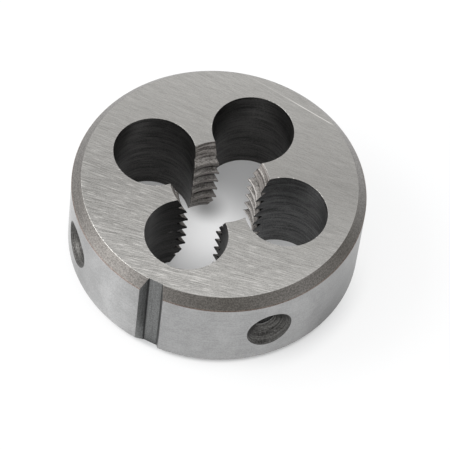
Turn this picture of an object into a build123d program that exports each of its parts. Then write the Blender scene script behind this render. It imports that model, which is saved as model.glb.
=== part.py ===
from build123d import *
import math
import os

# Round threading die for an M12 bolt, one turned, drilled and threaded piece of tool steel.
# The origin is the middle of the bottom face, +Z runs up the thread's axis, and -Y faces the
# groove in the rim. All lengths are millimetres and all angles are degrees.

# Body: a turned disc with both rim edges chamfered.
die_diameter = 38.0
die_thickness = 14.0
rim_chamfer_width = 1.2
rim_chamfer_height = 1.5

# Thread: a right-hand ISO metric coarse thread that the die cuts on a bolt.
thread_diameter = 12.0
thread_pitch = 1.75
thread_flank_angle = 30.0
thread_start_angle = 246.0
thread_root_clearance = 0.05

# Lead: the cone at each end of the bore that starts the die on a bolt. Each land's cone is turned
# off centre, so that it falls away from the bolt behind the land's cutting edge.
lead_mouth_diameter = 12.7
lead_angle = 23.0
lead_relief = 0.25

# Chip holes: round holes that break into the bore and leave the cutting lands between them.
chip_hole_count = 4
chip_hole_diameter = 10.7
chip_hole_circle_diameter = 18.9

# Groove: a flat-bottomed V down the rim, where a die stock's screw springs the die open.
groove_width = 3.3
groove_depth = 1.3
groove_wall_angle = 30.0

# Dimples: countersunk seats in the rim for a die stock's clamping screws.
dimple_angles = (-45.0, 48.0)
dimple_diameter = 6.5
dimple_point_angle = 90.0
pilot_diameter = 2.6
pilot_depth = 3.6
pilot_point_angle = 118.0

# How far a cutting tool runs past the face that it starts from.
tool_overrun = 1.0

# Shares that the ISO metric profile fixes, of the height of its sharp V.
CREST_SHARE = 17 / 24
PITCH_LINE_SHARE = 3 / 8

# A cut on a land sweeps this share of the spacing between chip holes, and so ends in open space.
LAND_ARC_SHARE = 0.8

# The cuts of the thread go on for this many turns beyond the die's thickness.
SPARE_TURNS = 2

# The groove faces -Y, and the dimples' angles are measured from it.
groove_direction = -90.0

rim_radius = die_diameter / 2
mid_height = die_thickness / 2
mouth_radius = lead_mouth_diameter / 2
thread_radius = thread_diameter / 2
sharp_height = thread_pitch / 2 / math.tan(math.radians(thread_flank_angle))
crest_radius = thread_radius - CREST_SHARE * sharp_height
pitch_line_radius = thread_radius - PITCH_LINE_SHARE * sharp_height
root_radius = thread_radius + thread_root_clearance
land_spacing = 360 / chip_hole_count
land_arc = land_spacing * LAND_ARC_SHARE


def turned_blank():
    """The disc with its rim chamfers and its bore, turned in one section."""
    section = Polyline(
        (crest_radius, 0),
        (rim_radius - rim_chamfer_width, 0),
        (rim_radius, rim_chamfer_height),
        (rim_radius, die_thickness - rim_chamfer_height),
        (rim_radius - rim_chamfer_width, die_thickness),
        (crest_radius, die_thickness),
        close=True,
    )
    # The section stands in the groove's plane, so that the seam of the turned faces is cut away.
    groove_plane = Plane(origin=(0, 0, 0), x_dir=(0, -1, 0), z_dir=(-1, 0, 0))
    return revolve(groove_plane * make_face(section), Axis.Z)


def chip_holes():
    """The drills for the chip holes, the first of them in line with the groove."""
    drill = Cylinder(chip_hole_diameter / 2, die_thickness + 2 * tool_overrun)
    ring = PolarLocations(chip_hole_circle_diameter / 2, chip_hole_count, start_angle=groove_direction)
    return [Pos(0, 0, mid_height) * place * drill for place in ring]


def land_directions():
    """Where the middle of each land lies, half way between two chip holes."""
    return [groove_direction + land_spacing * (land + 0.5) for land in range(chip_hole_count)]


def lead_cones():
    """The lead at both faces, cut land by land with a cone that is off centre towards the land's heel."""
    slope = math.tan(math.radians(lead_angle))
    outer_radius = mouth_radius + tool_overrun * slope
    inner_radius = crest_radius - 2 * lead_relief
    section = Polyline(
        (inner_radius, tool_overrun),
        (outer_radius, tool_overrun),
        (inner_radius, tool_overrun - (outer_radius - inner_radius) / slope),
        close=True,
    )
    cone = revolve(Plane.XZ * make_face(section), Axis.Z, revolution_arc=land_arc)
    cuts = []
    for direction in land_directions():
        on_land = Rot(0, 0, direction) * Pos(0, -lead_relief, 0) * Rot(0, 0, -land_arc / 2) * cone
        cuts.append(Pos(0, 0, die_thickness) * on_land)
        cuts.append(Rot(0, 180, 0) * on_land)
    return cuts


def thread_grooves():
    """Helical V grooves, one cut for each land and turn, from below one face to above the other."""

    def half_width(radius):
        narrowing = (radius - pitch_line_radius) * math.tan(math.radians(thread_flank_angle))
        return thread_pitch / 4 - narrowing

    inner_radius = crest_radius - thread_root_clearance
    section = Polyline(
        (inner_radius, -half_width(inner_radius)),
        (root_radius, -half_width(root_radius)),
        (root_radius, half_width(root_radius)),
        (inner_radius, half_width(inner_radius)),
        close=True,
    )
    path = Helix(thread_pitch, thread_pitch * land_arc / 360, pitch_line_radius)
    tooth_gap = sweep(Plane.XZ * make_face(section), path, is_frenet=True)
    turns = math.ceil(die_thickness / thread_pitch) + SPARE_TURNS
    cuts = []
    for direction in land_directions():
        start = direction - land_arc / 2
        first_turn = (start - thread_start_angle) / 360 % 1 - 1
        for turn in range(turns):
            height = (first_turn + turn) * thread_pitch
            cuts.append(Pos(0, 0, height) * Rot(0, 0, start) * tooth_gap)
    return cuts


def rim_groove():
    """The flat-bottomed V down the rim, widened past the rim by the tool's overrun."""
    wall_slope = math.tan(math.radians(groove_wall_angle))
    half_mouth = groove_width / 2
    mouth_distance = math.sqrt(rim_radius**2 - half_mouth**2)
    floor_distance = rim_radius - groove_depth
    half_floor = half_mouth - (mouth_distance - floor_distance) * wall_slope
    half_outside = half_mouth + tool_overrun * wall_slope
    section = Polyline(
        (floor_distance, -half_floor),
        (mouth_distance + tool_overrun, -half_outside),
        (mouth_distance + tool_overrun, half_outside),
        (floor_distance, half_floor),
        close=True,
    )
    cutter = extrude(Pos(0, 0, -tool_overrun) * make_face(section), die_thickness + 2 * tool_overrun)
    return Rot(0, 0, groove_direction) * cutter


def screw_dimple(angle):
    """A countersink with a pilot hole at its middle, drilled into the rim at mid height."""
    seat_slope = math.tan(math.radians(dimple_point_angle / 2))
    point_length = pilot_diameter / 2 / math.tan(math.radians(pilot_point_angle / 2))
    seat_radius = dimple_diameter / 2
    pilot_radius = pilot_diameter / 2
    section = Polyline(
        (0, tool_overrun),
        (seat_radius + tool_overrun * seat_slope, tool_overrun),
        (pilot_radius, -(seat_radius - pilot_radius) / seat_slope),
        (pilot_radius, -pilot_depth),
        (0, -pilot_depth - point_length),
        close=True,
    )
    cutter = revolve(Plane.XZ * make_face(section), Axis.Z)
    outward = Rot(0, 0, groove_direction + angle) * Pos(rim_radius, 0, mid_height) * Rot(0, 90, 0)
    return outward * cutter


def die_body():
    """The finished die: blank, chip holes, rim features, then the lead and the thread on the lands."""
    body = turned_blank() - chip_holes() - rim_groove()
    for angle in dimple_angles:
        body -= screw_dimple(angle)
    return body - lead_cones() - thread_grooves()


os.makedirs("parts", exist_ok=True)
export_step(die_body(), "parts/die_body.step")
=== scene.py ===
"""A round threading die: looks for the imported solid, with its floor, light and camera."""

import math
from collections import namedtuple

import bpy
from mathutils import Matrix, Vector


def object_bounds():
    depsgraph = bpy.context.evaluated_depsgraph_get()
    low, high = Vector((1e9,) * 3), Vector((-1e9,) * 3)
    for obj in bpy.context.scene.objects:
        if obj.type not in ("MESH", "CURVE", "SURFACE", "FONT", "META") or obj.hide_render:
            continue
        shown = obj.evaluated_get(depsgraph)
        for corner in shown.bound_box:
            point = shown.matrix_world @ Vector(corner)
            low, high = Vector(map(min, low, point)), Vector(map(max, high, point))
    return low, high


MM = 0.001

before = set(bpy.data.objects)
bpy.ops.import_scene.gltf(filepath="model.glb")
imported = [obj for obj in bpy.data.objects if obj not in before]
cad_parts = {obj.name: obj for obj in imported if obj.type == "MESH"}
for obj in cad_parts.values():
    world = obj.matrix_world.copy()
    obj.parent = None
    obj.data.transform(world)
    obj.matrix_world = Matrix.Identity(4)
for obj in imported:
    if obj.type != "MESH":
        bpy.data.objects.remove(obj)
cad_low, cad_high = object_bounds()

# Sizes of the die in millimetres. The thickness and the rim are measured on the solid, and the rest are
# the sizes that it was made to.
THICKNESS = (cad_high[2] - cad_low[2]) / MM
MID_HEIGHT = THICKNESS / 2
RIM_RADIUS = (cad_high[0] - cad_low[0]) / MM / 2
CHAMFER_WIDTH = 1.2
CHAMFER_HEIGHT = 1.5
CHAMFER_RADIUS = RIM_RADIUS - CHAMFER_WIDTH
CHAMFER_SLOPE = CHAMFER_WIDTH / CHAMFER_HEIGHT
CHIP_HOLE_RADIUS = 5.35
CHIP_HOLE_DISTANCE = 9.45
CREST_RADIUS = 4.926
LEAD_LENGTH = 3.4
GROOVE_HALF_WIDTH = 1.66
GROOVE_FLOOR_HALF_WIDTH = 0.94
DIMPLE_AZIMUTHS = (-45.0, 48.0)
SEAT_RADIUS = 3.25
SEAT_APEX = RIM_RADIUS - SEAT_RADIUS
PILOT_RADIUS = 1.3

# The thread and the groove are told from the chip holes and the rim by these limits, the first on the
# distance from the axis and the second on Y.
BORE_LIMIT = 6.8
GROOVE_LIMIT = -17.6

# A finish fades out over this distance where it meets the next one, in millimetres.
ZONE_BLUR = 0.012


# --- Nodes ---


def linear(hex_colour):
    """An sRGB hex colour as the linear values that a shader takes."""
    parts = [int(hex_colour[i : i + 2], 16) / 255 for i in (1, 3, 5)]
    parts = [p / 12.92 if p <= 0.04045 else ((p + 0.055) / 1.055) ** 2.4 for p in parts]
    return (*parts, 1.0)


def add(tree, kind, inputs=None, out=0, **settings):
    """Adds a node, feeds its inputs with links or plain values, and returns one of its outputs."""
    node = tree.nodes.new(kind)
    for name, value in settings.items():
        setattr(node, name, value)
    for key, value in (inputs or {}).items():
        if isinstance(value, bpy.types.NodeSocket):
            tree.links.new(value, node.inputs[key])
        else:
            node.inputs[key].default_value = value
    return node.outputs[out] if node.outputs else node


def calc(tree, operation, *numbers):
    """The result of one operation on numbers, such as MULTIPLY or MAXIMUM."""
    return add(tree, "ShaderNodeMath", dict(enumerate(numbers)), operation=operation)


def ramp(tree, value, start, end, low=0.0, high=1.0, kind="LINEAR"):
    """Goes from low to high as a value goes from start to end, and stays level outside them."""
    inputs = {"Value": value, "From Min": start, "From Max": end, "To Min": low, "To Max": high}
    return add(tree, "ShaderNodeMapRange", inputs, interpolation_type=kind)


def blend(tree, share, first, second):
    """A number between two numbers, by its share of the second."""
    return add(tree, "ShaderNodeMix", {0: share, 2: first, 3: second})


def blend_colours(tree, share, first, second):
    """A colour between two colours, by its share of the second."""
    return add(tree, "ShaderNodeMix", {0: share, 6: first, 7: second}, out=2, data_type="RGBA")


def scaled(tree, vector, factor):
    """A place or a colour times a number."""
    return add(tree, "ShaderNodeVectorMath", {0: vector, "Scale": factor}, operation="SCALE")


def masked(tree, vector, mask):
    """The parts of a vector that a mask of ones and zeros keeps."""
    return add(tree, "ShaderNodeVectorMath", {0: vector, 1: mask}, operation="MULTIPLY")


def length_of(tree, vector):
    return add(tree, "ShaderNodeVectorMath", {0: vector}, out="Value", operation="LENGTH")


def distance_from(tree, place, centre):
    """How far a place is from a centre, which is given by its X and Y at the height of 0."""
    inputs = {0: place, 1: (*centre, 0.0)}
    return add(tree, "ShaderNodeVectorMath", inputs, out="Value", operation="DISTANCE")


def band(radius, outside):
    """The radii where a band starts and ends, by their distances outside another radius."""
    return [radius + distance for distance in outside]


def parts_of(tree, vector):
    """The X, Y and Z of a vector."""
    return add(tree, "ShaderNodeSeparateXYZ", {0: vector}).node.outputs


def place_in_millimetres(tree):
    """Where a point lies on its own object."""
    metres = add(tree, "ShaderNodeTexCoord", out="Object")
    return scaled(tree, metres, 1 / MM)


def azimuth_of(tree, place):
    """The azimuth of a place round the die in radians, 0 in front of the groove."""
    x, y, _ = parts_of(tree, place)
    to_front = calc(tree, "MULTIPLY", y, -1.0)
    return calc(tree, "ARCTAN2", x, to_front)


def around(tree, place, azimuths, blur):
    """1 on the stretch round the die between two azimuths in degrees, and 0 past its blurred ends."""
    first, last = azimuths
    middle = math.radians((first + last) / 2)
    off_middle = calc(tree, "SUBTRACT", azimuth_of(tree, place), middle)
    off_middle = calc(tree, "ABSOLUTE", off_middle)
    outside = math.radians((last - first + blur) / 2)
    inside = math.radians((last - first - blur) / 2)
    return ramp(tree, off_middle, outside, inside, kind="SMOOTHSTEP")


def fresh_material(name):
    material = bpy.data.materials.new(name)
    material.use_nodes = True
    material.node_tree.nodes.clear()
    return material


def direction(azimuth, elevation):
    """A unit vector towards a place round the die: azimuth 0 is in front of the groove, 90 at its right."""
    a, e = math.radians(azimuth), math.radians(elevation)
    return Vector((math.sin(a) * math.cos(e), -math.cos(a) * math.cos(e), math.sin(e)))


# --- Camera ---
#
# Angles are in degrees and the distance is in millimetres.

CAMERA_AZIMUTH = 21.0
CAMERA_ELEVATION = 55.19
CAMERA_DISTANCE = 430.4
CAMERA_PAN = -0.18
CAMERA_TILT = 0.35
CAMERA_ROLL = -7.30
FOCAL_LENGTH_PIXELS = 3275.0
IMAGE_PIXELS = 450
SENSOR_WIDTH = 36.0
CLIP_METRES = (0.01, 20.0)


def rotated(axis, degrees, *vectors):
    """The vectors, rotated round an axis."""
    turn = Matrix.Rotation(math.radians(degrees), 3, axis)
    return [turn @ vector for vector in vectors]


def make_camera():
    back = direction(CAMERA_AZIMUTH, CAMERA_ELEVATION)
    forward = -back
    right = direction(CAMERA_AZIMUTH + 90, 0)
    up = right.cross(forward)
    forward, right = rotated(up, CAMERA_PAN, forward, right)
    forward, up = rotated(right, CAMERA_TILT, forward, up)
    right, up = rotated(forward, CAMERA_ROLL, right, up)
    data = bpy.data.cameras.new("camera")
    data.sensor_width = SENSOR_WIDTH
    data.lens = SENSOR_WIDTH * FOCAL_LENGTH_PIXELS / IMAGE_PIXELS
    data.clip_start, data.clip_end = CLIP_METRES
    camera = bpy.data.objects.new("camera", data)
    bpy.context.scene.collection.objects.link(camera)
    axes = Matrix((right, up, -forward)).transposed()
    camera.matrix_world = Matrix.Translation(back * CAMERA_DISTANCE * MM) @ axes.to_4x4()
    bpy.context.scene.camera = camera


# --- Light and floor ---


def make_lamp(name, azimuth, elevation, distance, size, power):
    """A rectangular lamp that faces the middle of the die. Its distance and size are in metres."""
    data = bpy.data.lights.new(name, "AREA")
    data.shape = "RECTANGLE"
    data.size, data.size_y = size
    data.energy = power
    lamp = bpy.data.objects.new(name, data)
    bpy.context.scene.collection.objects.link(lamp)
    towards = direction(azimuth, elevation)
    lamp.location = towards * distance + Vector((0, 0, MID_HEIGHT * MM))
    lamp.rotation_mode = "QUATERNION"
    lamp.rotation_quaternion = towards.to_track_quat("Z", "Y")


def make_world():
    world = bpy.data.worlds.new("white_studio")
    bpy.context.scene.world = world
    world.use_nodes = True
    tree = world.node_tree
    tree.nodes.clear()
    white = add(tree, "ShaderNodeBackground", {"Color": linear("#ffffff"), "Strength": 1.0})
    add(tree, "ShaderNodeOutputWorld", {"Surface": white})


def seen_rays(tree):
    """1 for the rays that show the background itself: straight, mirrored or through glass."""
    kinds = tree.nodes.new("ShaderNodeLightPath").outputs
    mirrored = calc(tree, "MAXIMUM", kinds["Is Camera Ray"], kinds["Is Glossy Ray"])
    return calc(tree, "MAXIMUM", mirrored, kinds["Is Transmission Ray"])


# The paper is a square a little under the die. Its sizes and all others on the floor are in millimetres.
PAPER_HALF_WIDTH = 1500.0
PAPER_DROP = 0.02

# Seen through the holes, the paper under the die is drawn as shade with a soft pool of light under the
# bore, in place of the light that would fall through them.
POOL_CENTRE = (-0.9, 1.6)
POOL_RADIUS = 9.5
POOL_GLOW = 0.56
SHADE_GLOW = 0.12

# The paper under the right hole glows by at least this much.
RIGHT_GLOW = 0.18
RIGHT_AZIMUTHS = (85.0, 145.0)

# A painted shadow at the foot of the far land makes the pool darker there.
FOOT_SHADOW_CENTRE = (-3.2, 4.9)
FOOT_SHADOW_RADIUS = 3.2
FOOT_SHADOW_SHARE = 0.54

# Outside the die the paper glows white by this share, and the rest of it keeps the die's own shadow. The
# glow sets in between these two radii.
FLOOR_GLOW = 0.8
EDGE_RADIUS = 17.9
CLEAR_RADIUS = 18.75

# A narrow drawn shade deepens the die's own shadow along the right of the rim, out to this radius.
SHADE_RADIUS = 21.8
SHADE_SHARE = 0.36
SHADE_AZIMUTHS = (48.0, 100.0)

# The ends of the glow and of the shade at the right are blurred over this angle in degrees.
FLOOR_BLUR = 40.0


def light_under_die(tree, place):
    """How much the paper glows where it shows through the holes."""
    from_pool = distance_from(tree, place, POOL_CENTRE)
    pool = ramp(tree, from_pool, POOL_RADIUS, 0.0, SHADE_GLOW, POOL_GLOW, kind="SMOOTHSTEP")
    right = around(tree, place, RIGHT_AZIMUTHS, FLOOR_BLUR)
    right = calc(tree, "MULTIPLY", right, RIGHT_GLOW)
    return calc(tree, "MAXIMUM", pool, right)


def light_round_die(tree, place):
    """How much the paper glows outside the die, with the drawn shade taken off."""
    radius = length_of(tree, place)
    near = ramp(tree, radius, SHADE_RADIUS, CLEAR_RADIUS, high=SHADE_SHARE, kind="SMOOTHSTEP")
    shade = calc(tree, "MULTIPLY", around(tree, place, SHADE_AZIMUTHS, FLOOR_BLUR), near)
    clear = ramp(tree, radius, EDGE_RADIUS, CLEAR_RADIUS, high=FLOOR_GLOW, kind="SMOOTHSTEP")
    return calc(tree, "SUBTRACT", clear, shade)


def matt_white_paper():
    """Matt white paper, with the light and the shade that are drawn on it."""
    material = fresh_material("matt_white_paper")
    tree = material.node_tree
    place = place_in_millimetres(tree)
    paper = add(tree, "ShaderNodeBsdfDiffuse", {"Color": linear("#f2f3f4"), "Roughness": 0.5})
    glow = add(tree, "ShaderNodeEmission", {"Color": linear("#ffffff"), "Strength": 1.0})
    black_shade = add(tree, "ShaderNodeEmission", {"Color": linear("#000000"), "Strength": 0.0})
    share = calc(tree, "MAXIMUM", light_under_die(tree, place), light_round_die(tree, place))
    share = calc(tree, "MULTIPLY", seen_rays(tree), share)
    # A painted shadow darkens the pool at the foot of the far land.
    from_foot_shadow = distance_from(tree, place, FOOT_SHADOW_CENTRE)
    foot_shadow = ramp(tree, from_foot_shadow, FOOT_SHADOW_RADIUS, 0.0, high=FOOT_SHADOW_SHARE, kind="SMOOTHSTEP")
    surface = add(tree, "ShaderNodeMixShader", {0: share, 1: paper, 2: glow})
    surface = add(tree, "ShaderNodeMixShader", {0: foot_shadow, 1: surface, 2: black_shade})
    add(tree, "ShaderNodeOutputMaterial", {"Surface": surface})
    return material


def make_floor():
    half = PAPER_HALF_WIDTH * MM
    corners = [(-half, -half, 0), (half, -half, 0), (half, half, 0), (-half, half, 0)]
    mesh = bpy.data.meshes.new("floor")
    mesh.from_pydata(corners, [], [(0, 1, 2, 3)])
    mesh.materials.append(matt_white_paper())
    floor = bpy.data.objects.new("floor", mesh)
    floor.location.z = -PAPER_DROP * MM
    bpy.context.scene.collection.objects.link(floor)


make_camera()
make_world()
make_floor()
make_lamp("key_softbox", azimuth=-70, elevation=40, distance=0.7, size=(0.4, 0.4), power=3.0)
make_lamp("front_left_card", azimuth=-42, elevation=13, distance=0.5, size=(0.3, 0.15), power=0.65)

bpy.context.scene.view_settings.view_transform = "Standard"


# --- Steel ---
#
# The die is one piece of hardened tool steel, and each of its surfaces keeps the marks of the tool that
# made it. Each finish below is a colour, a roughness and a height of tool marks, and the zones that it
# covers are told apart by where they lie on the die. Places and grains are in millimetres.

Finish = namedtuple("Finish", "colour roughness height")

# Most of what a noise gives lies between these two values.
NOISE_LOW = 0.4
NOISE_HIGH = 0.6
NOISE_MIDDLE = 0.5

# How much of a noise's finer grains shows.
FINE_GRAINS = 0.55


def stretched_noise(tree, place, grain, seed, detail=2.0):
    """Noise whose grains are as long, wide and high as the three sizes given."""
    shift = (seed, 2 * seed, 3 * seed)
    per_grain = tuple(1 / size for size in grain)
    where = add(tree, "ShaderNodeMapping", {"Vector": place, "Location": shift, "Scale": per_grain})
    inputs = {"Vector": where, "Scale": 1.0, "Detail": detail, "Roughness": FINE_GRAINS}
    return add(tree, "ShaderNodeTexNoise", inputs)


def between(tree, noise, dark, light, low, high):
    """A colour from dark to light as a noise goes from low to high."""
    return blend_colours(tree, ramp(tree, noise, low, high), linear(dark), linear(light))


def tone_round(tree, place, tones):
    """A colour that passes through the tones round the die, each given at its azimuth in degrees."""
    turn = ramp(tree, azimuth_of(tree, place), -math.pi, math.pi)
    colour = add(tree, "ShaderNodeValToRGB", {0: turn})
    stops = colour.node.color_ramp.elements
    stops[0].color = stops[1].color = linear(tones[-1][1])
    for azimuth, tone in tones:
        stops.new((azimuth + 180) / 360).color = linear(tone)
    return colour


def marked(tree, tone, marks, spread):
    """A tone that tool marks darken and lighten by a share of itself."""
    return scaled(tree, tone, ramp(tree, marks, NOISE_LOW, NOISE_HIGH, 1 - spread, 1 + spread))


def lay_over(tree, under, over, mask):
    """The finish that shows where one lies over another with a mask."""
    return Finish(
        colour=blend_colours(tree, mask, under.colour, over.colour),
        roughness=blend(tree, mask, under.roughness, over.roughness),
        height=blend(tree, mask, under.height, over.height),
    )


# --- Steel: the end faces ---

# The grinding lines fan out from this place, beside the die. Fainter lines cross them at an angle.
WHEEL_CENTRE = (80.0, 4.0)
CROSS_ANGLE = 14.0

# The grinding lines are at their faintest at the first of these places along Y, and keen at the second. The
# lines are the face's grain, and their keener contrast towards the front is painted sheen.
FAINT_LINES_Y = 4.0
KEEN_LINES_Y = -12.0
FAINTEST_LINES = 0.5

# The face is painted brightest away from the line through its middle that is square to this azimuth, as a
# painted sheen of its grinding lines.
SHEEN_AZIMUTH = 25.0
SHEEN_REACH = 17.0

# The dark and the light of the grinding lines are reached at these values of their noise.
LINES_DARK = 0.395
LINES_LIGHT = 0.605

# Painted glints lie among the lines from the first of these places along Y, and most of them at the second.
GLINTS_START_Y = 6.0
GLINTS_FULL_Y = -14.0
GLINT_SHARE = 0.65

# A painted highlight lies along the face's outer edge, in a band just inside the chamfer, the most between
# two azimuths.
EDGE_GLINT_BAND = (-0.15, -0.08)
EDGE_GLINT_AZIMUTHS = (-24.0, -2.0)
EDGE_GLINT_BLUR = 16.0
LEAST_EDGE_GLINT = 0.02
MOST_EDGE_GLINT = 0.42

# A few painted glints lie in a band round each chip hole.
HOLE_GLINT_BAND = (0.14, 0.08)
HOLE_GLINT_SHARE = 0.6

# A long scratch crosses the back of the face between two places, and fades out at both. It is faint up to
# the first of these distances past its middle, and strong from the second.
SCRATCH_START = (-4.0, 17.0)
SCRATCH_END = (9.0, 15.4)
SCRATCH_WIDTH = 0.09
SCRATCH_FADE = 1.0
SCRATCH_DEEPENS = (-2.0, 1.0)
SCRATCH_SHARES = (0.2, 0.8)


def fanned_out(tree, place):
    """A place as its distance from the wheel's centre and its way across the lines that fan out from it."""
    wheel = (*WHEEL_CENTRE, 0.0)
    from_wheel = add(tree, "ShaderNodeVectorMath", {0: place, 1: wheel}, operation="SUBTRACT")
    flat = masked(tree, from_wheel, (1.0, 1.0, 0.0))
    x, y, _ = parts_of(tree, flat)
    across = calc(tree, "MULTIPLY", calc(tree, "DIVIDE", y, x), WHEEL_CENTRE[0])
    return add(tree, "ShaderNodeCombineXYZ", {"X": length_of(tree, flat), "Y": across, "Z": 0.0})


def grinding_lines(tree, place, fan, y):
    """Fine grit, long lines, the fainter lines that cross them, and specks."""
    grit = stretched_noise(tree, fan, grain=(1.6, 0.09, 1.0), seed=3.1, detail=3.0)
    lines = stretched_noise(tree, fan, grain=(9.0, 0.12, 1.0), seed=7.7)
    turn = (0.0, 0.0, -math.radians(CROSS_ANGLE))
    crossing = add(tree, "ShaderNodeMapping", {"Vector": place, "Rotation": turn})
    crossing = stretched_noise(tree, crossing, grain=(4.0, 0.1, 1.0), seed=5.2)
    specks = stretched_noise(tree, place, grain=(0.15, 0.15, 1.0), seed=11.6, detail=1.0)
    marks = blend(tree, 0.4, grit, lines)
    marks = blend(tree, 0.3, marks, crossing)
    marks = blend(tree, 0.25, marks, specks)
    # The keener lines towards the front are painted sheen.
    keenness = ramp(tree, y, FAINT_LINES_Y, KEEN_LINES_Y, low=FAINTEST_LINES)
    return blend(tree, keenness, NOISE_MIDDLE, marks)


def painted_glints(tree, fan, y):
    """Short dashes and long lines of painted highlight, more of them towards the front."""
    dashes = stretched_noise(tree, fan, grain=(2.0, 0.1, 1.0), seed=12.3)
    dashes = ramp(tree, dashes, start=0.57, end=0.69)
    long_lines = stretched_noise(tree, fan, grain=(9.0, 0.11, 1.0), seed=21.7, detail=1.0)
    long_lines = ramp(tree, long_lines, start=0.62, end=0.74)
    front = ramp(tree, y, GLINTS_START_Y, GLINTS_FULL_Y)
    glints = calc(tree, "MAXIMUM", dashes, long_lines)
    glints = calc(tree, "MULTIPLY", glints, front)
    return calc(tree, "MULTIPLY", glints, GLINT_SHARE)


def painted_edge_glints(tree, place, radius, hole_distance):
    """The painted highlight along the face's outer edge, and the few painted glints round its chip holes.
    """
    glint_breaks = stretched_noise(tree, place, grain=(0.3, 0.3, 1.0), seed=15.1)
    glinting_side = around(tree, place, EDGE_GLINT_AZIMUTHS, EDGE_GLINT_BLUR)
    glinting_side = ramp(tree, glinting_side, 0.0, 1.0, LEAST_EDGE_GLINT, MOST_EDGE_GLINT)
    rim_edge_glint = ramp(tree, radius, *band(CHAMFER_RADIUS, EDGE_GLINT_BAND))
    rim_edge_glint = calc(tree, "MULTIPLY", rim_edge_glint, glinting_side)
    edge_glints = calc(tree, "MULTIPLY", ramp(tree, glint_breaks, start=0.4, end=0.65), rim_edge_glint)
    hole_glint_band = ramp(tree, hole_distance, *band(CHIP_HOLE_RADIUS, HOLE_GLINT_BAND), high=HOLE_GLINT_SHARE)
    hole_glints = calc(tree, "MULTIPLY", hole_glint_band, ramp(tree, glint_breaks, start=0.58, end=0.7))
    return calc(tree, "MAXIMUM", edge_glints, hole_glints)


def long_scratch(tree, place):
    """1 along the scratch, and 0 at its sides and past its ends."""
    run, rise = SCRATCH_END[0] - SCRATCH_START[0], SCRATCH_END[1] - SCRATCH_START[1]
    middle = (SCRATCH_START[0] + run / 2, SCRATCH_START[1] + rise / 2, 0.0)
    turn = (0.0, 0.0, math.atan2(rise, run))
    inputs = {"Vector": place, "Location": middle, "Rotation": turn}
    x, y, _ = parts_of(tree, add(tree, "ShaderNodeMapping", inputs, vector_type="TEXTURE"))
    beside = ramp(tree, calc(tree, "ABSOLUTE", y), SCRATCH_WIDTH, 0.0)
    half = math.hypot(run, rise) / 2
    within = ramp(tree, calc(tree, "ABSOLUTE", x), half, half - SCRATCH_FADE)
    deeper = ramp(tree, x, *SCRATCH_DEEPENS, *SCRATCH_SHARES)
    return calc(tree, "MULTIPLY", beside, calc(tree, "MULTIPLY", within, deeper))


def ground_face(tree, place, radius, hole_distance):
    """Ground on a surface grinder: bright, with fine long lines that fan out across the face, a painted
    sheen and painted glints.
    """
    _, y, _ = parts_of(tree, place)
    fan = fanned_out(tree, place)
    marks = grinding_lines(tree, place, fan, y)
    # A painted sheen lightens the face away from that line.
    inputs = {0: place, 1: direction(SHEEN_AZIMUTH, 0)}
    painted_sheen = add(tree, "ShaderNodeVectorMath", inputs, out="Value", operation="DOT_PRODUCT")
    painted_sheen = ramp(tree, calc(tree, "ABSOLUTE", painted_sheen), 0.0, SHEEN_REACH)
    off_sheen = between(tree, marks, "#7f7e7b", "#adaba8", LINES_DARK, LINES_LIGHT)
    in_sheen = between(tree, marks, "#8a8986", "#c3c1be", LINES_DARK, LINES_LIGHT)
    colour = blend_colours(tree, painted_sheen, off_sheen, in_sheen)
    edge_glints = painted_edge_glints(tree, place, radius, hole_distance)
    # The glints and the edge highlights are painted highlights, and the long scratch is a bright mark of
    # the face.
    glints_and_scratch = calc(tree, "MAXIMUM", painted_glints(tree, fan, y), edge_glints)
    glints_and_scratch = calc(tree, "MAXIMUM", glints_and_scratch, long_scratch(tree, place))
    colour = blend_colours(tree, glints_and_scratch, colour, linear("#f4f2ee"))
    return Finish(colour, roughness=0.34, height=marks)


# --- Steel: the rim and its chamfers ---

# The rim is painted brightest at its front left, as a painted reflection, and dullest at its right, as
# painted shade.
HIGHLIT_RIM, PLAIN_RIM, SHADED_RIM = "#bcbcbc", "#a1a1a1", "#959595"
RIM_TONES = (
    (-60.0, HIGHLIT_RIM),
    (-42.0, PLAIN_RIM),
    (-18.0, HIGHLIT_RIM),
    (0.0, PLAIN_RIM),
    (64.0, PLAIN_RIM),
    (84.0, SHADED_RIM),
)

# At the right it is painted darker still towards its foot, as painted shade, from the first of these
# heights to the second.
SHADED_FOOT_AZIMUTHS = (66.0, 130.0)
SHADED_FOOT_BLUR = 24.0
SHADED_FOOT_HEIGHTS = (11.0, 2.0)
SHADED_FOOT_SHARES = (0.08, 0.5)

# The chamfer's tone round the die is painted light and shade on its brown-grey skin: darkest and brownest
# at its front right, and palest at the back, as a painted reflection.
PAINTED_SHEEN_SKIN, GREY_SKIN, DARK_SKIN = "#989694", "#716e6b", "#5d5a56"
CHAMFER_TONES = (
    (-130.0, PAINTED_SHEEN_SKIN),
    (-55.0, GREY_SKIN),
    (-8.0, GREY_SKIN),
    (30.0, DARK_SKIN),
    (62.0, GREY_SKIN),
    (88.0, DARK_SKIN),
    (150.0, PAINTED_SHEEN_SKIN),
)

# The chamfer is a little warmer in a band along its outer edge.
WARM_BAND = (-0.14, -0.03)
WARM_SHARE = 0.25


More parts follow.
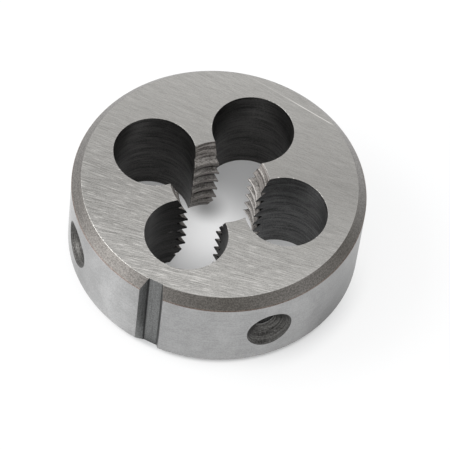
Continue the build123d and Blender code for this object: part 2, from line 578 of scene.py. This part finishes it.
def ground_rim(tree, place):
    """Ground between centres: a satin wall, cloudy, with faint lines that run round it, and painted light
    and shade round the die.
    """
    lines = stretched_noise(tree, place, grain=(5.0, 5.0, 0.12), seed=1.3)
    clouds = stretched_noise(tree, place, grain=(2.5, 2.5, 3.5), seed=5.9)
    specks = stretched_noise(tree, place, grain=(0.2, 0.2, 0.2), seed=2.9, detail=1.0)
    marks = blend(tree, 0.5, lines, clouds)
    marks = blend(tree, 0.4, marks, specks)
    _, _, z = parts_of(tree, place)
    # Painted shade darkens the foot of the rim at its right.
    foot_shade = ramp(tree, z, *SHADED_FOOT_HEIGHTS, *SHADED_FOOT_SHARES)
    foot_shade = calc(tree, "MULTIPLY", foot_shade, around(tree, place, SHADED_FOOT_AZIMUTHS, SHADED_FOOT_BLUR))
    # The rim's tone round the die is painted light and shade.
    satin_with_painted_light = scaled(tree, tone_round(tree, place, RIM_TONES), calc(tree, "SUBTRACT", 1.0, foot_shade))
    return Finish(marked(tree, satin_with_painted_light, marks, spread=0.15), roughness=0.36, height=marks)


def turned_chamfer(tree, place, radius):
    """Turned and not ground: a matt brown-grey skin with a fine grain, painted lighter and darker round the
    die, and warmer along its outer edge.
    """
    lines = stretched_noise(tree, place, grain=(5.0, 5.0, 0.12), seed=2.4)
    specks = stretched_noise(tree, place, grain=(0.18, 0.18, 0.18), seed=8.2)
    marks = blend(tree, 0.75, lines, specks)
    edge = ramp(tree, radius, *band(RIM_RADIUS, WARM_BAND), high=WARM_SHARE)
    # The skin's tones round the die are painted light and shade.
    skin = blend_colours(tree, edge, tone_round(tree, place, CHAMFER_TONES), linear("#8f6c5a"))
    return Finish(marked(tree, skin, marks, spread=0.27), roughness=0.48, height=marks)


# --- Steel: the holes, the thread, the groove and the dimples ---

# The walls are near black, and each hole's tone is painted light and shade: the front hole is the blackest,
# and the right one a dark grey. Each tone starts at its azimuth.
HOLE_TONES_AND_LIGHT = (
    (-135.0, "#4e4d4c"),
    (-45.0, "#3a3938"),
    (45.0, "#606060"),
    (135.0, "#4e4d4c"),
)

# A surface in the bore is a flank of the thread where the upright part of its normal is over the first of
# these values, and it isn't one under the second.
FLANK_NORMALS = (0.75, 0.55)

# The lead's finish takes over from the thread's across this distance along the axis.
LEAD_BLUR = 0.8

# The thread is painted bright at its crests, as a painted highlight, and further out it is painted in
# shade, dusky and then black, where shade falls in its roots.
CREST_HIGHLIGHT_BAND = (0.1, 0.0)
DUSKY_SHADE_BAND = (0.12, 0.32)
DUSKY_SHADE_SHARE = 0.34
BLACK_SHADE_BAND = (0.4, 0.75)

# The back-right land is painted with darker flanks, as painted shade, and a brighter lead and crests, as
# painted light, by these factors.
BACK_RIGHT_AZIMUTHS = (95.0, 175.0)
BACK_RIGHT_BLUR = 10.0
BACK_RIGHT_FLANK_SHADE = 0.75
BACK_RIGHT_LEAD_LIGHT = 1.1

# The corners of the groove's floor are dark out to the first of these distances, and darkest at the second.
CORNER_BAND = (0.16, 0.02)
CORNER_SHARE = 0.85

# Some of the countersink's rings carry painted glints by this share. It ends in a band round the pilot
# hole's edge.
RING_GLINT_SHARE = 0.25
PILOT_BAND = (0.05, 0.0)


def drilled_hole(tree, place):
    """Drilled and not ground: near black, with the drill's rings in it."""
    rings = stretched_noise(tree, place, grain=(3.0, 3.0, 0.16), seed=4.6, detail=3.0)
    broad = stretched_noise(tree, place, grain=(4.0, 4.0, 0.55), seed=7.4, detail=1.0)
    specks = stretched_noise(tree, place, grain=(0.16, 0.16, 0.16), seed=6.8, detail=1.0)
    marks = blend(tree, 0.45, rings, broad)
    marks = blend(tree, 0.3, marks, specks)
    # Each hole's tone is painted light and shade on its near-black wall.
    tone = tone_round(tree, place, HOLE_TONES_AND_LIGHT)
    tone.node.color_ramp.interpolation = "CONSTANT"
    return Finish(marked(tree, tone, marks, spread=0.55), roughness=0.42, height=marks)


def cut_thread(tree, place, radius, depth):
    """Cut and then backed off: brown-grey flanks, with painted shade in the roots and a painted highlight
    along the crests.
    """
    rings = stretched_noise(tree, place, grain=(2.0, 2.0, 0.14), seed=6.3, detail=3.0)
    specks = stretched_noise(tree, place, grain=(0.2, 0.2, 0.2), seed=3.3)
    marks = blend(tree, 0.5, rings, specks)
    skin = between(tree, marks, "#585552", "#b2aeaa", low=0.37, high=0.63)
    lead_rings = stretched_noise(tree, place, grain=(2.5, 2.5, 0.28), seed=8.8)
    lead_marks = blend(tree, 0.3, lead_rings, specks)
    lead = between(tree, lead_marks, "#625e5b", "#b1aca8", low=0.42, high=0.58)
    back_right = around(tree, place, BACK_RIGHT_AZIMUTHS, BACK_RIGHT_BLUR)

    at_end = ramp(tree, depth, LEAD_LENGTH, LEAD_LENGTH - LEAD_BLUR)
    # Painted shade darkens the roots, dusky and then black.
    black_shade = ramp(tree, radius, *band(CREST_RADIUS, BLACK_SHADE_BAND))
    dusky_shade = ramp(tree, radius, *band(CREST_RADIUS, DUSKY_SHADE_BAND), high=DUSKY_SHADE_SHARE)
    root_shade = calc(tree, "MAXIMUM", black_shade, dusky_shade)
    root_shade = calc(tree, "MULTIPLY", root_shade, calc(tree, "SUBTRACT", 1.0, at_end))
    skin = blend_colours(tree, root_shade, skin, linear("#111110"))
    # Painted shade darkens the flanks of the back-right land.
    skin = scaled(tree, skin, ramp(tree, back_right, 0.0, 1.0, 1.0, BACK_RIGHT_FLANK_SHADE))

    _, _, up = parts_of(tree, add(tree, "ShaderNodeTexCoord", out="Normal"))
    off_flank = ramp(tree, calc(tree, "ABSOLUTE", up), *FLANK_NORMALS)
    on_lead = calc(tree, "MULTIPLY", at_end, off_flank)
    # Painted light brightens the lead of the back-right land.
    lead = scaled(tree, lead, ramp(tree, back_right, 0.0, 1.0, 1.0, BACK_RIGHT_LEAD_LIGHT))
    skin = blend_colours(tree, on_lead, skin, lead)

    # A painted highlight brightens the crests.
    crest_highlight = blend_colours(tree, back_right, linear("#8d8885"), linear("#c6c2bf"))
    at_crest_highlight = ramp(tree, radius, *band(CREST_RADIUS, CREST_HIGHLIGHT_BAND))
    colour = blend_colours(tree, at_crest_highlight, skin, crest_highlight)
    return Finish(colour, roughness=0.6, height=marks)


def milled_groove(tree, place):
    """Milled along the rim: grey with fine lines from one end face to the other."""
    lines = stretched_noise(tree, place, grain=(0.14, 0.14, 4.0), seed=9.5)
    specks = stretched_noise(tree, place, grain=(0.2, 0.2, 0.25), seed=1.8, detail=1.0)
    marks = blend(tree, 0.6, lines, specks)
    steel = between(tree, marks, "#585958", "#8b8c8c", low=0.3, high=0.7)
    x, _, _ = parts_of(tree, place)
    from_corner = calc(tree, "SUBTRACT", calc(tree, "ABSOLUTE", x), GROOVE_FLOOR_HALF_WIDTH)
    corner = ramp(tree, calc(tree, "ABSOLUTE", from_corner), *CORNER_BAND, high=CORNER_SHARE)
    colour = blend_colours(tree, corner, steel, linear("#1e1e1f"))
    return Finish(colour, roughness=0.42, height=marks)


def countersink(tree, seat, from_axis):
    """Countersunk with a cone tool: brown-grey rings round a dark pilot hole."""
    rings = stretched_noise(tree, seat, grain=(0.13, 4.0, 4.0), seed=0.7, detail=3.0)
    specks = stretched_noise(tree, seat, grain=(0.2, 0.2, 0.2), seed=4.2, detail=1.0)
    marks = blend(tree, 0.35, rings, specks)
    steel = between(tree, marks, "#2f2e2d", "#686765", low=0.36, high=0.64)
    # Painted glints shine on some of the rings.
    ring_glints = stretched_noise(tree, seat, grain=(0.12, 0.6, 0.6), seed=13.9, detail=1.0)
    ring_glints = ramp(tree, ring_glints, start=0.64, end=0.77, high=RING_GLINT_SHARE)
    steel = blend_colours(tree, ring_glints, steel, linear("#a9a8a6"))
    in_pilot = ramp(tree, from_axis, *band(PILOT_RADIUS, PILOT_BAND))
    colour = blend_colours(tree, in_pilot, steel, linear("#8c8c8c"))
    return Finish(colour, roughness=0.42, height=marks)


# --- Steel: where each finish lies ---

# The zones of the chip holes' walls and of the pilot holes start in these bands, a little off the walls.
WALL_ZONE = (0.007, 0.003)
PILOT_ZONE = (0.06, 0.03)

# The edges look rounded by this radius, in millimetres.
BROKEN_EDGE_RADIUS = 0.1

# The tool marks are this high, in millimetres, and show by this share.
MARK_HEIGHT = 0.02
MARK_SHARE = 0.25


def distance_to_hole(tree, x, y):
    """How far a place is from the axis of the nearest chip hole."""
    side, front = calc(tree, "ABSOLUTE", x), calc(tree, "ABSOLUTE", y)
    far = calc(tree, "MAXIMUM", side, front)
    near = calc(tree, "MINIMUM", side, front)
    past_centre = calc(tree, "SUBTRACT", far, CHIP_HOLE_DISTANCE)
    return length_of(tree, add(tree, "ShaderNodeCombineXYZ", {"X": past_centre, "Y": near, "Z": 0.0}))


def depth_from_face(tree, z):
    """How deep a place lies under the nearer end face."""
    from_middle = calc(tree, "ABSOLUTE", calc(tree, "SUBTRACT", z, MID_HEIGHT))
    return calc(tree, "SUBTRACT", MID_HEIGHT, from_middle)


def groove_zone(tree, x, y):
    between_walls = ramp(tree, calc(tree, "ABSOLUTE", x), GROOVE_HALF_WIDTH, GROOVE_HALF_WIDTH - ZONE_BLUR)
    at_rim = ramp(tree, y, GROOVE_LIMIT + ZONE_BLUR, GROOVE_LIMIT)
    return calc(tree, "MULTIPLY", between_walls, at_rim)


def chamfer_zone(tree, radius, depth):
    """1 where a place lies on the chamfers' cones, or outside them."""
    cone = calc(tree, "MULTIPLY_ADD", depth, -CHAMFER_SLOPE, radius)
    return ramp(tree, cone, CHAMFER_RADIUS - 2 * ZONE_BLUR, CHAMFER_RADIUS - ZONE_BLUR)


def dimple_zone(tree, outward, from_axis):
    """1 on the seat of a dimple and in its pilot hole."""
    seat = calc(tree, "SUBTRACT", outward, from_axis)
    on_seat = ramp(tree, seat, SEAT_APEX - 2 * ZONE_BLUR, SEAT_APEX - ZONE_BLUR)
    in_pilot = ramp(tree, from_axis, *band(PILOT_RADIUS, PILOT_ZONE))
    on_this_side = calc(tree, "GREATER_THAN", outward, 0.0)
    in_pilot = calc(tree, "MULTIPLY", in_pilot, on_this_side)
    return calc(tree, "MAXIMUM", on_seat, in_pilot)


def hardened_tool_steel():
    """Hardened tool steel with a finish of its own on each surface of the die."""
    material = fresh_material("hardened_tool_steel")
    tree = material.node_tree
    place = place_in_millimetres(tree)
    x, y, z = parts_of(tree, place)
    radius = length_of(tree, masked(tree, place, (1.0, 1.0, 0.0)))
    depth = depth_from_face(tree, z)
    hole_distance = distance_to_hole(tree, x, y)

    finish = ground_rim(tree, place)
    in_bore = ramp(tree, radius, BORE_LIMIT, BORE_LIMIT - ZONE_BLUR)
    finish = lay_over(tree, finish, cut_thread(tree, place, radius, depth), in_bore)
    on_wall = ramp(tree, hole_distance, *band(CHIP_HOLE_RADIUS, WALL_ZONE))
    finish = lay_over(tree, finish, drilled_hole(tree, place), on_wall)
    finish = lay_over(tree, finish, milled_groove(tree, place), groove_zone(tree, x, y))
    chamfer = turned_chamfer(tree, place, radius)
    finish = lay_over(tree, finish, chamfer, chamfer_zone(tree, radius, depth))
    for azimuth in DIMPLE_AZIMUTHS:
        turn = (0.0, 0.0, math.radians(90.0 - azimuth))
        inputs = {"Vector": place, "Rotation": turn, "Location": (0.0, 0.0, -MID_HEIGHT)}
        seat = add(tree, "ShaderNodeMapping", inputs)
        outward, _, _ = parts_of(tree, seat)
        from_axis = length_of(tree, masked(tree, seat, (0.0, 1.0, 1.0)))
        mask = dimple_zone(tree, outward, from_axis)
        finish = lay_over(tree, finish, countersink(tree, seat, from_axis), mask)
    on_face = ramp(tree, depth, 2 * ZONE_BLUR, ZONE_BLUR)
    finish = lay_over(tree, finish, ground_face(tree, place, radius, hole_distance), on_face)

    edges = add(tree, "ShaderNodeBevel", {"Radius": BROKEN_EDGE_RADIUS * MM}, samples=4)
    colour, roughness, height = finish
    inputs = {"Strength": MARK_SHARE, "Distance": MARK_HEIGHT * MM, "Height": height, "Normal": edges}
    marks = add(tree, "ShaderNodeBump", inputs)
    inputs = {"Base Color": colour, "Metallic": 1.0, "Roughness": roughness, "Normal": marks}
    steel = add(tree, "ShaderNodeBsdfPrincipled", inputs)
    add(tree, "ShaderNodeOutputMaterial", {"Surface": steel})
    return material


steel = hardened_tool_steel()
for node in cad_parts.values():
    node.material_slots[0].material = steel
